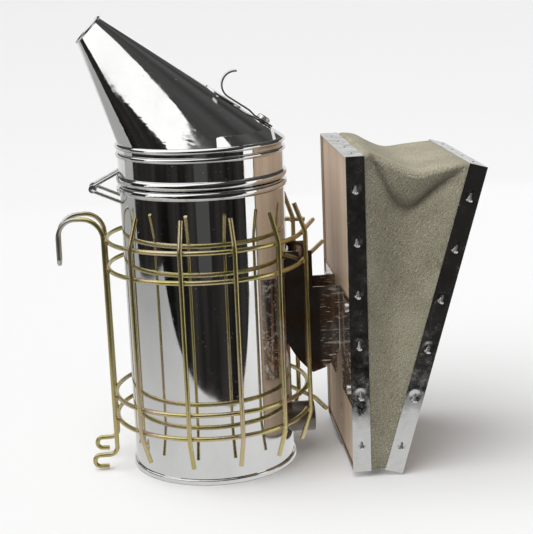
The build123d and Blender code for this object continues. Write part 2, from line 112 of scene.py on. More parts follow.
FRONT_FRAME = board_frame(FRONT_BACK_X, Vector((-1.0, 0.0, 0.0)), Vector((0.0, 0.0, 1.0)))
REAR_FRAME = board_frame(
    REAR_FOOT_X,
    Vector((math.cos(REAR_LEAN), 0.0, -math.sin(REAR_LEAN))),
    Vector((math.sin(REAR_LEAN), 0.0, math.cos(REAR_LEAN))),
)


# ---------------------------------------------------------------- meshes


def new_mesh_object(name, points, faces, material, body=None, smooth=True):
    """Makes an object from points and faces, in the row frame, and lets it ride on a body."""
    mesh = bpy.data.meshes.new(name)
    mesh.from_pydata([tuple(p) for p in points], [], faces)
    mesh.update()
    for polygon in mesh.polygons:
        polygon.use_smooth = smooth
    obj = bpy.data.objects.new(name, mesh)
    bpy.context.scene.collection.objects.link(obj)
    mesh.materials.append(material)
    if body:
        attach(obj, body)
    return obj


def lathe(profile, place, segments=20):
    """Points and faces of a turned shape; profile holds (radius, height) pairs from foot to tip."""
    points, faces = [], []
    for radius, height in profile:
        for step in range(segments):
            angle = 2 * math.pi * step / segments
            local = Vector((radius * math.cos(angle), radius * math.sin(angle), height))
            points.append(place @ local)
    for ring in range(len(profile) - 1):
        for step in range(segments):
            after = (step + 1) % segments
            low, high = ring * segments, (ring + 1) * segments
            faces.append((low + step, low + after, high + after, high + step))
    faces.append(tuple(reversed(range(segments))))
    faces.append(tuple(range((len(profile) - 1) * segments, len(profile) * segments)))
    return points, faces


def joined(parts):
    """One list of points and faces out of several."""
    points, faces = [], []
    for part_points, part_faces in parts:
        start = len(points)
        points += part_points
        faces += [tuple(index + start for index in face) for face in part_faces]
    return points, faces


# ---------------------------------------------------------------- materials


class Finish:
    """A material under construction: one Principled shader and short ways to feed it."""

    def __init__(self, name, metallic, roughness, color):
        self.material = bpy.data.materials.new(name)
        self.material.use_nodes = True
        self.tree = self.material.node_tree
        self.shader = self.tree.nodes["Principled BSDF"]
        self.shader.inputs["Metallic"].default_value = metallic
        self.shader.inputs["Roughness"].default_value = roughness
        self.shader.inputs["Base Color"].default_value = (*color, 1.0)
        self.place = self.tree.nodes.new("ShaderNodeTexCoord")

    def link(self, source, target):
        self.tree.links.new(source, target)

    def coordinates(self, stretch, turn=(0.0, 0.0, 0.0), kind="Object"):
        """Texture coordinates scaled by stretch, in repeats per metre."""
        mapping = self.tree.nodes.new("ShaderNodeMapping")
        mapping.inputs["Scale"].default_value = stretch
        mapping.inputs["Rotation"].default_value = turn
        self.link(self.place.outputs[kind], mapping.inputs["Vector"])
        return mapping.outputs["Vector"]

    def noise(self, stretch, detail=3.0, roughness=0.5, kind="Object", turn=(0.0, 0.0, 0.0)):
        """Cloudy pattern around 0.5."""
        texture = self.tree.nodes.new("ShaderNodeTexNoise")
        texture.inputs["Scale"].default_value = 1.0
        texture.inputs["Detail"].default_value = detail
        texture.inputs["Roughness"].default_value = roughness
        self.link(self.coordinates(stretch, turn, kind), texture.inputs["Vector"])
        return texture.outputs["Fac"]

    def spots(self, stretch, kind="Object"):
        """Distance to the nearest of many scattered points."""
        texture = self.tree.nodes.new("ShaderNodeTexVoronoi")
        texture.inputs["Scale"].default_value = 1.0
        self.link(self.coordinates(stretch, kind=kind), texture.inputs["Vector"])
        return texture.outputs["Distance"]

    def remap(self, value, low, high, out_low, out_high):
        """Value from low..high mapped to out_low..out_high, clamped."""
        node = self.tree.nodes.new("ShaderNodeMapRange")
        node.inputs["From Min"].default_value = low
        node.inputs["From Max"].default_value = high
        node.inputs["To Min"].default_value = out_low
        node.inputs["To Max"].default_value = out_high
        self.link(value, node.inputs["Value"])
        return node.outputs["Result"]

    def math(self, operation, first, second):
        """One sum; each side is a socket or a number."""
        node = self.tree.nodes.new("ShaderNodeMath")
        node.operation = operation
        for socket, value in zip(node.inputs, (first, second)):
            if isinstance(value, float):
                socket.default_value = value
            else:
                self.link(value, socket)
        return node.outputs["Value"]

    def colors(self, value, stops):
        """Colour ramp; stops holds (position, colour) pairs."""
        node = self.tree.nodes.new("ShaderNodeValToRGB")
        elements = node.color_ramp.elements
        while len(elements) < len(stops):
            elements.new(0.5)
        for element, (position, color) in zip(elements, stops):
            element.position = position
            element.color = (*color, 1.0)
        self.link(value, node.inputs["Fac"])
        return node.outputs["Color"]

    def mix(self, share, first, second):
        """First colour where share is 0, second where it is 1; each is a socket or a colour."""
        node = self.tree.nodes.new("ShaderNodeMix")
        node.data_type = "RGBA"
        self.link(share, node.inputs["Factor"])
        for socket, value in ((node.inputs[MIX_FIRST], first), (node.inputs[MIX_SECOND], second)):
            if isinstance(value, tuple):
                socket.default_value = (*value, 1.0)
            else:
                self.link(value, socket)
        return node.outputs[MIX_RESULT]

    def bump(self, height, strength, distance, under=None):
        """Normal of a relief, distance high in metres, on top of another relief if there is one."""
        node = self.tree.nodes.new("ShaderNodeBump")
        node.inputs["Strength"].default_value = strength
        node.inputs["Distance"].default_value = distance
        self.link(height, node.inputs["Height"])
        if under:
            self.link(under, node.inputs["Normal"])
        return node.outputs["Normal"]

    def dot(self, direction):
        """Distance of the shaded point along a direction, in the row frame."""
        node = self.tree.nodes.new("ShaderNodeVectorMath")
        node.operation = "DOT_PRODUCT"
        self.link(self.place.outputs["Object"], node.inputs[0])
        node.inputs[1].default_value = direction
        return node.outputs["Value"]

    def feed(self, socket, value):
        self.link(value, self.shader.inputs[socket])
        return self


def polished_stainless(name, waviness, hairline_depth, flared_foot=False):
    """Mirror-polished sheet: slow waves, hairline polishing marks, smudges and small specks.

    With flared_foot, a short stretch of the sheet's foot is pressed a little outwards.
    """
    finish = Finish(name, 1.0, 0.04, (0.80, 0.80, 0.79))
    smudge = finish.noise((35.0, 35.0, 22.0), 5.0, 0.65)
    hairlines = finish.noise((60.0, 60.0, 2600.0), 3.0, 0.6)
    waves = finish.noise((9.0, 9.0, 5.0), 1.0)
    specks = finish.noise((420.0, 420.0, 700.0), 4.0, 0.7)
    fleck = finish.remap(specks, 0.66, 0.74, 0.0, 0.30)
    blotches = finish.remap(smudge, 0.42, 0.75, 0.035, 0.13)
    finish.feed("Metallic", finish.remap(specks, 0.645, 0.70, 1.0, 0.80))
    finish.feed("Roughness", finish.math("ADD", blotches, fleck))
    finish.feed(
        "Base Color",
        finish.colors(smudge, [(0.35, (0.82, 0.82, 0.81)), (0.75, (0.74, 0.74, 0.73))]),
    )
    flare = None
    if flared_foot:
        height, across = finish.dot((0.0, 0.0, 1.0)), finish.dot((1.0, 0.0, 0.0))
        foot = finish.remap(height, SHOULDER, SHOULDER + FLARE_HEIGHT, 1.0, 0.0)
        begins = finish.remap(across, FLARE_START, FLARE_START + FLARE_RAMP_IN, 0.0, 1.0)
        ends = finish.remap(across, FLARE_END, FLARE_END + FLARE_RAMP_OUT, 1.0, 0.0)
        stretch = finish.math("MULTIPLY", begins, ends)
        flare = finish.bump(finish.math("MULTIPLY", foot, stretch), 1.0, FLARE_REACH)
    slow = finish.bump(waves, waviness, 0.001, flare)
    finish.feed("Normal", finish.bump(hairlines, hairline_depth, 0.00003, slow))
    return finish.material


def polished_trim():
    """Polished strip of the thumb lift and the patch under it."""
    finish = Finish("polished_trim", 1.0, 0.10, (0.78, 0.78, 0.77))
    smudge = finish.noise((90.0, 90.0, 90.0), 4.0)
    finish.feed("Roughness", finish.remap(smudge, 0.35, 0.7, 0.06, 0.18))
    finish.feed("Normal", finish.bump(finish.noise((200.0, 200.0, 200.0)), 0.08, 0.0002))
    return finish.material


def fastener_metal():
    """Bright zinc plating on nails, screws and rivets."""
    finish = Finish("plated_fasteners", 0.86, 0.22, (0.86, 0.86, 0.85))
    grain = finish.noise((900.0, 900.0, 900.0), 3.0)
    finish.feed("Roughness", finish.remap(grain, 0.3, 0.7, 0.14, 0.34))
    finish.feed("Normal", finish.bump(grain, 0.2, 0.0001))
    return finish.material


def guard_wire_metal():
    """Yellow zinc plating: olive gold that drifts to pink and grey, with drawing lines."""
    finish = Finish("guard_wire", 0.93, 0.24, (0.58, 0.50, 0.22))
    drift = finish.noise((38.0, 38.0, 26.0), 3.0, 0.6)
    plating = finish.colors(
        drift,
        [
            (0.28, (0.50, 0.46, 0.17)),
            (0.47, (0.62, 0.53, 0.23)),
            (0.60, (0.68, 0.57, 0.34)),
            (0.74, (0.66, 0.48, 0.38)),
        ],
    )
    wear = finish.remap(finish.noise((420.0, 420.0, 420.0), 4.0), 0.60, 0.70, 0.0, 0.55)
    finish.feed("Base Color", finish.mix(wear, plating, (0.78, 0.75, 0.66)))
    finish.feed("Roughness", finish.remap(drift, 0.3, 0.7, 0.16, 0.32))
    finish.feed("Normal", finish.bump(finish.noise((700.0, 700.0, 90.0)), 0.2, 0.0001))
    return finish.material


def hook_wire_metal():
    """The same plating as the guard, worn to bare grey zinc towards the hook's tip."""
    finish = Finish("hook_wire", 0.93, 0.24, (0.58, 0.50, 0.22))
    separate = finish.tree.nodes.new("ShaderNodeSeparateXYZ")
    finish.link(finish.place.outputs["Object"], separate.inputs["Vector"])
    blotch = finish.noise((60.0, 60.0, 60.0), 4.0)
    reach = finish.math("ADD", separate.outputs["X"], finish.math("MULTIPLY", blotch, 0.02))
    bare = finish.remap(reach, HOOK_PLATED, HOOK_BARE, 0.0, 0.85)
    drift = finish.noise((38.0, 38.0, 26.0), 3.0, 0.6)
    plating = finish.colors(
        drift, [(0.30, (0.48, 0.43, 0.16)), (0.55, (0.62, 0.53, 0.24)), (0.74, (0.64, 0.48, 0.38))]
    )
    above = finish.remap(separate.outputs["Z"], HOOK_BARE_LOW, HOOK_BARE_HIGH, 0.0, 1.0)
    share = finish.math("MULTIPLY", bare, above)
    finish.feed("Base Color", finish.mix(share, plating, (0.62, 0.62, 0.60)))
    finish.feed("Normal", finish.bump(finish.noise((700.0, 700.0, 90.0)), 0.2, 0.0001))
    return finish.material


def drawn_steel(name, color, roughness):
    """Plain drawn or rolled steel."""
    finish = Finish(name, 1.0, roughness, color)
    grain = finish.noise((260.0, 260.0, 260.0), 4.0)
    finish.feed("Roughness", finish.remap(grain, 0.3, 0.7, roughness * 0.7, roughness * 1.4))
    finish.feed(
        "Base Color",
        finish.colors(grain, [(0.3, tuple(c * 0.82 for c in color)), (0.7, color)]),
    )
    finish.feed("Normal", finish.bump(grain, 0.15, 0.0002))
    return finish.material


def bracket_metal():
    """Polished sheet: a dark saddle, and wings with level scratches, tinted in patches with a
    painted brown reflection.
    """
    finish = Finish("bracket_steel", 0.90, 0.12, (0.50, 0.43, 0.37))
    wing = finish.remap(finish.dot((1.0, 0.0, 0.0)), WING_START - WING_BLUR, WING_START, 0.0, 1.0)
    scratch = finish.noise((105.0, 105.0, 850.0), 2.0, 0.6)
    patches = finish.noise((70.0, 70.0, 150.0), 2.0)
    scratched = finish.math("MULTIPLY", finish.remap(patches, 0.44, 0.58, 0.0, 1.0), wing)
    cut = finish.math("MULTIPLY", finish.remap(scratch, 0.55, 0.61, 0.0, 1.0), scratched)
    finish.feed("Metallic", finish.remap(wing, 0.0, 1.0, 0.985, 0.90))
    # Painted reflection: patches of the base colour are tinted brown like the wood and the shade
    # that the sheet mirrors
    blotches = finish.remap(finish.noise((60.0, 60.0, 60.0), 3.0, 0.6), 0.40, 0.62, 0.0, 1.0)
    painted_reflection_brown = finish.mix(blotches, (0.46, 0.42, 0.39), (0.42, 0.26, 0.17))
    finish.feed("Base Color", finish.mix(cut, painted_reflection_brown, (0.92, 0.86, 0.78)))
    finish.feed("Roughness", finish.remap(cut, 0.0, 1.0, 0.10, 0.52))
    finish.feed("Normal", finish.bump(cut, 0.25, 0.0002))
    return finish.material


def board_wood():
    """Sanded pinkish board with close upright grain and small pores."""
    finish = Finish("board_wood", 0.0, 0.42, (0.46, 0.31, 0.22))
    bands = finish.noise((60.0, 60.0, 5.0), 4.0, 0.6)
    fibres = finish.noise((900.0, 900.0, 35.0), 3.0, 0.7)
    tone = finish.math(
        "ADD", finish.math("MULTIPLY", bands, 0.65), finish.math("MULTIPLY", fibres, 0.35)
    )
    shades = [
        (0.32, (0.58, 0.42, 0.295)),
        (0.50, (0.715, 0.535, 0.385)),
        (0.66, (0.80, 0.62, 0.465)),
    ]
    finish.feed("Base Color", finish.colors(tone, shades))
    finish.feed("Roughness", finish.remap(fibres, 0.3, 0.7, 0.48, 0.66))
    finish.feed("Normal", finish.bump(fibres, 0.25, 0.0002))
    return finish.material


def edging_metal(name, board):
    """Bright tin-plated strip: mirror with rolling marks and a dent round each side nail."""
    finish = Finish(name, 1.0, 0.09, (0.66, 0.66, 0.65))
    foot = board.translation
    outward, along = board.col[0].xyz, board.col[2].xyz
    beside = finish.math("SUBTRACT", finish.dot(outward), foot.dot(outward) + STRIP_MIDDLE)
    reach = finish.math("SUBTRACT", finish.dot(along), foot.dot(along) + SIDE_NAILS_START)
    turns = finish.math("DIVIDE", reach, SIDE_NAILS_PITCH)
    past = finish.math("SUBTRACT", turns, finish.math("ROUND", turns, 0.0))
    above = finish.math("MULTIPLY", past, SIDE_NAILS_PITCH)
    distance = finish.math(
        "SQRT",
        finish.math(
            "ADD", finish.math("MULTIPLY", beside, beside), finish.math("MULTIPLY", above, above)
        ),
        0.0,
    )
    dent = finish.remap(distance, DENT_INSIDE, DENT_OUTSIDE, 0.0, 1.0)
    dent.node.interpolation_type = "SMOOTHSTEP"
    marks = finish.noise((1800.0, 1800.0, 60.0), 3.0, 0.6)
    crazing = finish.noise((150.0, 150.0, 150.0), 5.0, 0.7)
    dented = finish.bump(dent, 1.0, DENT_DEPTH)
    slow = finish.bump(finish.noise((30.0, 30.0, 16.0), 2.0), 0.5, 0.0012, dented)
    finish.feed("Roughness", finish.remap(crazing, 0.35, 0.70, 0.06, 0.30))
    finish.feed(
        "Base Color",
        finish.colors(crazing, [(0.30, (0.58, 0.58, 0.575)), (0.70, (0.70, 0.695, 0.68))]),
    )
    finish.feed("Normal", finish.bump(marks, 0.12, 0.00005, slow))
    return finish.material


def bellows_leather():
    """Olive-grey leatherette with a fine slanting rib and a soft nap, with painted shade in the
    crease.
    """
    finish = Finish("bellows_leather", 0.0, 0.72, (0.24, 0.22, 0.165))
    rib = finish.tree.nodes.new("ShaderNodeTexWave")
    rib.inputs["Scale"].default_value = 1.0
    rib.inputs["Distortion"].default_value = 14.0
    rib.inputs["Detail"].default_value = 3.0
    rib.inputs["Detail Scale"].default_value = 1.5
    slant = (0.0, 0.0, RIB_SLANT)
    turned = finish.coordinates((300.0, 300.0, 300.0), slant, "UV")
    finish.link(turned, rib.inputs["Vector"])
    pebble = finish.spots((1100.0, 1100.0, 1100.0), kind="UV")
    cloud = finish.noise((45.0, 45.0, 45.0), 4.0, 0.6)
    fleck = finish.noise((700.0, 1100.0, 900.0), 3.0, 0.7, "UV", slant)
    surface = finish.math(
        "ADD",
        finish.math("MULTIPLY", rib.outputs["Fac"], 0.4),
        finish.math("MULTIPLY", pebble, 0.8),
    )
    ribbed = finish.math(
        "ADD",
        finish.math("MULTIPLY", rib.outputs["Fac"], 0.26),
        finish.math("MULTIPLY", fleck, 0.46),
    )
    tone = finish.math("ADD", finish.math("MULTIPLY", cloud, 0.30), ribbed)
    shades = [
        (0.36, (0.225, 0.203, 0.132)),
        (0.50, (0.390, 0.356, 0.250)),
        (0.64, (0.545, 0.510, 0.385)),
    ]
    nap = finish.colors(tone, shades)
    shade_attribute = finish.tree.nodes.new("ShaderNodeAttribute")
    shade_attribute.attribute_name = CREASE_SHADE
    # Painted shade: the attribute darkens the base colour towards dark brown along the crease
    finish.feed("Base Color", finish.mix(shade_attribute.outputs["Fac"], nap, (0.105, 0.080, 0.060)))
    finish.feed("Normal", finish.bump(surface, 0.75, 0.0005))
    finish.shader.inputs["Sheen Weight"].default_value = 0.06
    finish.shader.inputs["Sheen Roughness"].default_value = 0.5
    return finish.material


finishes = {
    "polished_stainless": polished_stainless("polished_stainless", 0.16, 0.06),
    "polished_trim": polished_trim(),
    "plated_fasteners": fastener_metal(),
    "guard_wire": guard_wire_metal(),
    "hinge_wire": drawn_steel("hinge_wire", (0.66, 0.66, 0.64), 0.28),
    "grate_steel": drawn_steel("grate_steel", (0.45, 0.44, 0.42), 0.45),
    "bracket_steel": bracket_metal(),
    "board_wood": board_wood(),
    "edging_steel": edging_metal("edging_steel", FRONT_FRAME),
    "spring_steel": drawn_steel("spring_steel", (0.50, 0.50, 0.50), 0.30),
    "bellows_leather": bellows_leather(),
}
slot_of = {row["node"]: row["material_slot"] for row in frame["record"]["subparts"]}
for node_name, node in nodes.items():
    for material_slot in node.material_slots:
        material_slot.material = finishes[slot_of[node_name]]
nodes["hanging_hook"].material_slots[0].material = hook_wire_metal()
spout_stainless = polished_stainless("spout_stainless", 0.03, 0.012, flared_foot=True)
nodes["spout_cone"].material_slots[0].material = spout_stainless
# The air inlet tube gets a darker steel than the other drawn parts
dark_inlet_steel = drawn_steel("dark_inlet_steel", (0.20, 0.17, 0.15), 0.38)
nodes["air_inlet_tube"].material_slots[0].material = dark_inlet_steel
rear_edging = edging_metal("rear_edging", REAR_FRAME)
for place in ("near", "far", "bottom", "top"):
    nodes["rear_edging_" + place].material_slots[0].material = rear_edging


# ---------------------------------------------------------------- nails

SIDE_NAIL_PROFILE = [
    (0.75 * MM, -2.5 * MM),
    (0.75 * MM, 3.20 * MM),
    (1.05 * MM, 3.30 * MM),
    (1.32 * MM, 3.44 * MM),
    (1.40 * MM, 3.66 * MM),
    (1.26 * MM, 3.94 * MM),
    (0.90 * MM, 4.16 * MM),
    (0.45 * MM, 4.28 * MM),
    (0.10 * MM, 4.30 * MM),
]
END_NAIL_PROFILE = [
    (0.55 * MM, -2.0 * MM),
    (0.98 * MM, 0.02 * MM),
    (0.92 * MM, 0.22 * MM),
    (0.60 * MM, 0.36 * MM),
    (0.10 * MM, 0.40 * MM),
]
# How far the side nails hang down for each unit outwards, and the chance lean of both kinds
SIDE_NAIL_HANG = 1.45
SIDE_NAIL_LEAN = 0.20
END_NAIL_LEAN = 0.04


def nail_place(board, spot, outward, lean):
    """Matrix of a nail: at a spot on a strip, its z axis outwards with a small chance lean."""
    tilt = Vector((rng.uniform(-lean, lean), rng.uniform(-lean, lean), rng.uniform(-lean, lean)))
    turn = (Vector(outward) + tilt).normalized().to_track_quat("Z", "Y").to_matrix().to_4x4()
    return board @ Matrix.Translation(Vector(spot)) @ turn


def nails(name, board, body):
    """The nails of one board: long hanging ones on the sides, small low heads on the ends."""
    shapes = []
    for index in range(SIDE_NAILS):
        height = SIDE_NAILS_START + SIDE_NAILS_PITCH * index
        for side in (-1, 1):
            spot = (STRIP_MIDDLE, side * BOARD_HALF_WIDTH, height)
            place = nail_place(board, spot, (0.0, side, -SIDE_NAIL_HANG), SIDE_NAIL_LEAN)
            shapes.append(lathe(SIDE_NAIL_PROFILE, place))
    for index in range(END_NAILS):
        across = END_NAILS_PITCH * (index - (END_NAILS - 1) / 2)
        for height, facing in ((0.0, -1.0), (BOARD_LENGTH, 1.0)):
            spot = (STRIP_MIDDLE, across, height)
            place = nail_place(board, spot, (0.0, 0.0, facing), END_NAIL_LEAN)
            shapes.append(lathe(END_NAIL_PROFILE, place))
    piece = new_mesh_object(name + "_domed", *joined(shapes), finishes["plated_fasteners"], body)
    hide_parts(name)


nails("front_nails", FRONT_FRAME, "pot")
nails("rear_nails", REAR_FRAME, "rear_board")

# ---------------------------------------------------------------- bellows skin

SKIN_HALF_WIDTH = 54.85 * MM
SKIN_LOW = 1.05 * MM
SKIN_HIGH = BOARD_LENGTH - SKIN_LOW
SKIN_THICKNESS = 0.8 * MM
SKIN_TUCK = 8.0 * MM
SIDE_FOOT = 0.6 * MM
CORNER_RADIUS = 1.2 * MM
CORNER_SWELL = 3.2 * MM
TUCK_STEPS = 3
SPAN_STEPS = 40
SIDE_STEPS = 110
CORNER_STEPS = 8
TOP_STEPS = 60
BOTTOM_STEPS = 24

# The fold under the top edge, the groove and the painted shade along it, and the long valley below
CREASE_DEPTH = 5.0 * MM
CREASE_FADE = 9.0 * MM
GROOVE_DEPTH = 3.4 * MM
GROOVE_WIDTH = 4.2 * MM
CREASE_SHADE_DEPTH = 0.52
CREASE_SHADE_WIDTH = 5.0 * MM
CREASE_SHADE_MARGIN = 12.0 * MM
RIDGE_BULGE = 1.2 * MM
VALLEY_DEPTH = 5.0 * MM

# Unevenness of the stretched leatherette: how finely it varies, and by how much
SLOW_SCALE, SLOW_HEIGHT = 38.0, 0.5 * MM
QUICK_SCALE, QUICK_HEIGHT = 90.0, 0.18 * MM
LIFT_SCALE, LIFT_HEIGHT = 30.0, 0.6 * MM
LIFT_START = Vector((5, 5, 5))

# How quickly the sag dies away down the sides: a higher power keeps it nearer the top
SAG_FADE = 9

# Across the gap from the front board (0) to the rear board (1): how far, in millimetres, the
# near edge, the far edge and the crease in the sides lie below the line between the boards
NEAR_SAG = [(0.0, 0.0), (0.05, -2.0), (0.10, -1.4), (0.19, 0.6), (0.375, 4.4), (0.53, 5.6),
            (0.68, 3.8), (0.81, 1.8), (0.93, 0.2), (1.0, 0.0)]
FAR_SAG = [(0.0, 0.0), (0.05, -1.4), (0.18, -1.0), (0.29, 1.9), (0.42, 4.6), (0.53, 5.2),
           (0.72, 2.7), (0.90, 0.6), (1.0, 0.0)]
CREASE_DROP = [(0.0, 0.0), (0.09, 1.5), (0.195, 11.5), (0.29, 21.0), (0.39, 27.3), (0.49, 29.3),
               (0.59, 26.0), (0.70, 18.5), (0.83, 10.9), (0.96, 3.0), (1.0, 0.0)]


def arch(share, power):
    """A smooth hump over 0..1, with steeper ends for lower powers."""
    return max(0.0, math.sin(math.pi * share)) ** power


def along_span(keys, share):
    """Smooth curve through (share, millimetres) points, in metres."""
    share = min(1.0, max(0.0, share))
    for index in range(len(keys) - 1):
        if share <= keys[index + 1][0]:
            break
    (low, start), (high, end) = keys[index], keys[index + 1]

    def slope(at):
        if at == 0 or at == len(keys) - 1:
            return 0.0
        return (keys[at + 1][1] - keys[at - 1][1]) / (keys[at + 1][0] - keys[at - 1][0])

    step, width = (share - low) / (high - low), high - low
    leave, arrive = slope(index) * width, slope(index + 1) * width
    cubic = 2 * start - 2 * end + leave + arrive
    square = 3 * end - 3 * start - 2 * leave - arrive
    return (((cubic * step + square) * step + leave) * step + start) * MM


def sag(share, across):
    """How far the top hangs down; across runs from -1 at the near edge to 1 at the far edge."""
    blend = (across + 1) / 2
    return along_span(NEAR_SAG, share) * (1 - blend) + along_span(FAR_SAG, share) * blend


def in_crease(share, drop, width):
    """1 in the middle of the crease, falling off over a width to both sides of it."""
    return math.exp(-(((drop - along_span(CREASE_DROP, share)) / width) ** 2))


def side_offset(share, height):
    """How far a side stands out of its plane: the fold under the top, then the long valley."""
    drop = SKIN_HIGH - height
    crease = along_span(CREASE_DROP, share)
    depth = CREASE_DEPTH * arch(share, 1.1)
    along = height / SKIN_HIGH
    valley = VALLEY_DEPTH * arch(share, 1.4) * min(1.0, 1.6 * along) ** 1.3
    ridge_drop = sag(share, -1)
    groove = GROOVE_DEPTH * arch(share, 0.7) * in_crease(share, drop, GROOVE_WIDTH)
    if drop < crease and crease > ridge_drop:
        position = min(1.0, max(0.0, (drop - ridge_drop) / (crease - ridge_drop)))
        return RIDGE_BULGE * arch(share, 1.0) * (1 - position) - depth * position - groove
    fade = math.exp(-((drop - crease) / CREASE_FADE))
    return -depth * fade - valley * (1 - fade) - groove


def crease_shade_share(share, y, height):
    """How much painted shade a point of the section gets: 0 none, 1 full. Only the sides get it."""
    if abs(y) <= SKIN_HALF_WIDTH - CREASE_SHADE_MARGIN:
        return 0.0
    return CREASE_SHADE_DEPTH * arch(share, 0.40) * in_crease(share, SKIN_HIGH - height, CREASE_SHADE_WIDTH)


def side_column(share, side, corner):
    """One side of the section from its foot to the top's edge, as (y, height) pairs."""
    drop = sag(share, side)
    low = SKIN_LOW + SIDE_FOOT
    column = []
    for step in range(SIDE_STEPS + 1):
        height = low + (SKIN_HIGH - corner - low) * step / SIDE_STEPS
        lowered = height - drop * (height / SKIN_HIGH) ** SAG_FADE
        column.append((side * (SKIN_HALF_WIDTH + side_offset(share, lowered)), lowered))
    inside = abs(column[-1][0]) - corner
    for step in range(1, CORNER_STEPS):
        angle = math.pi / 2 * step / CORNER_STEPS
        height = SKIN_HIGH - corner - drop + corner * math.sin(angle)
        column.append((side * (inside + corner * math.cos(angle)), height))
    return column, inside


def loop_points(share):
    """Section of the skin round the board edges at one share of the span: (y, height) pairs."""
    corner = CORNER_RADIUS + CORNER_SWELL * arch(share, 0.8)
    points, top_near = side_column(share, -1, corner)
    far_column, top_far = side_column(share, 1, corner)
    for step in range(TOP_STEPS + 1):
        y = -top_near + (top_far + top_near) * step / TOP_STEPS
        points.append((y, SKIN_HIGH - sag(share, y / SKIN_HALF_WIDTH)))
    points += reversed(far_column)
    for step in range(BOTTOM_STEPS + 1):
        points.append((SKIN_HALF_WIDTH * (1 - 2 * step / BOTTOM_STEPS), SKIN_LOW))
    return points


def rumpled(point, share, inwards):
    """A point of the free span, moved by the unevenness of the leatherette."""
    free = arch(share, 0.6)
    slow = noise.noise(point * SLOW_SCALE) * SLOW_HEIGHT
    quick = noise.noise(point * QUICK_SCALE) * QUICK_HEIGHT
    moved = point + Vector((0.0, (slow + quick) * free * inwards, 0.0))
    lift = noise.noise(moved * LIFT_SCALE + LIFT_START) * LIFT_HEIGHT
    return moved + Vector((0.0, 0.0, lift * free))


def skin_columns():
    """The band as columns of points from board to board, and each point's share and painted crease
    shade.
    """
    columns, shares, crease_shading = [], [], []
    for step in range(-TUCK_STEPS, SPAN_STEPS + TUCK_STEPS + 1):
        share = min(1.0, max(0.0, step / SPAN_STEPS))
        tuck = SKIN_TUCK / TUCK_STEPS * max(0, -step, step - SPAN_STEPS)
        column = []
        for y, height in loop_points(share):
            front = FRONT_FRAME @ Vector((tuck if step < 0 else 0.0, y, height))
            rear = REAR_FRAME @ Vector((tuck if step > SPAN_STEPS else 0.0, y, height))
            point = front.lerp(rear, share)
            if 0 < share < 1:
                point = rumpled(point, share, 1 if y < 0 else -1)
            column.append(point)
            shares.append(share)
            crease_shading.append(crease_shade_share(share, y, height))
        columns.append(column)
    return columns, shares, crease_shading


def lay_flat(piece, columns):
    """Unrolls the band into a UV map, in metres: across the gap, and round the boards."""
    around = len(columns[0])
    middle = columns[len(columns) // 2]
    lengths = [0.0]
    for row in range(around):
        lengths.append(lengths[-1] + (middle[(row + 1) % around] - middle[row]).length)
    layer = piece.data.uv_layers.new(name="flat")
    corner = 0
    for left_column, right_column in zip(columns, columns[1:]):
        for row in range(around):
            left, right = left_column[row].x, right_column[row].x
            low, high = lengths[row], lengths[row + 1]
            for place in ((left, low), (right, low), (right, high), (left, high)):
                layer.data[corner].uv = place
                corner += 1


def bellows_skin():
    """The leatherette: a closed band round both boards, its margins tucked under the strips."""
    columns, shares, crease_shading = skin_columns()
    around = len(columns[0])
    faces = []
    for column in range(len(columns) - 1):
        for row in range(around):
            after = (row + 1) % around
            a, b = column * around, (column + 1) * around
            faces.append((a + row, b + row, b + after, a + after))
    points = [point for column in columns for point in column]
    piece = new_mesh_object("bellows_skin_leather", points, faces, finishes["bellows_leather"])
    lay_flat(piece, columns)
    # The painted shade of the crease, one value per point
    piece.data.attributes.new(CREASE_SHADE, "FLOAT", "POINT").data.foreach_set("value", crease_shading)
    thick = piece.modifiers.new("thickness", "SOLIDIFY")
    thick.thickness = SKIN_THICKNESS
    thick.offset = 0.0
    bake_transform(piece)
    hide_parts("bellows_skin")
    return piece


skin = bellows_skin()

# ---------------------------------------------------------------- welds on the guard

WIRE_RADIUS = 1.4 * MM
GUARD_RADIUS = 60.0 * MM
RING_HEIGHTS = (144.6 * MM, 127.2 * MM, 47.1 * MM, 32.5 * MM)
UPRIGHT_ANGLES = (-17.0, -49.0, -76.5, -105.5, -136.0, 24.0, 49.0, 76.5, 105.5, 136.0)
WELD_RADIUS = 1.45 * MM
WELD_SQUEEZE = (0.8, 1.15, 0.85, 1.0)
WELD_RINGS = 8
WELD_SEGMENTS = 12
POLE_RADIUS = 0.001 * MM


def weld(angle, height):
    """A flattened bead of metal where an upright crosses a hoop."""
    outward = Vector((math.cos(angle), math.sin(angle), 0.0))
    centre = outward * (GUARD_RADIUS + WIRE_RADIUS) + Vector((0.0, 0.0, height))
    profile = []
    for ring in range(WELD_RINGS + 1):
        turn = math.pi * ring / WELD_RINGS
        profile.append((WELD_RADIUS * math.sin(turn) + POLE_RADIUS, -WELD_RADIUS * math.cos(turn)))
    return lathe(profile, Matrix.Translation(centre) @ Matrix.Diagonal(WELD_SQUEEZE), WELD_SEGMENTS)


welds = [weld(math.radians(angle), height) for angle in UPRIGHT_ANGLES for height in RING_HEIGHTS]
guard_welds = new_mesh_object("guard_welds", *joined(welds), finishes["guard_wire"], "pot")

# ---------------------------------------------------------------- spring

spring = nodes["bellows_spring"].copy()
spring.data = nodes["bellows_spring"].data.copy()
spring.name = "bellows_spring_coil"
# The copy is a piece of its own, so it drops what marks the CAD node
for key in list(spring.keys()):
    del spring[key]
bpy.context.scene.collection.objects.link(spring)
spring.parent = None
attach(spring, "pot")
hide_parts("bellows_spring")
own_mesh(spring)

# ---------------------------------------------------------------- studio

WHITE = (1.0, 1.0, 1.0)
PATCH_REPEATS = 0.9
PATCH_DETAIL = 2.0
PATCH_RANGE = (0.35, 0.68)


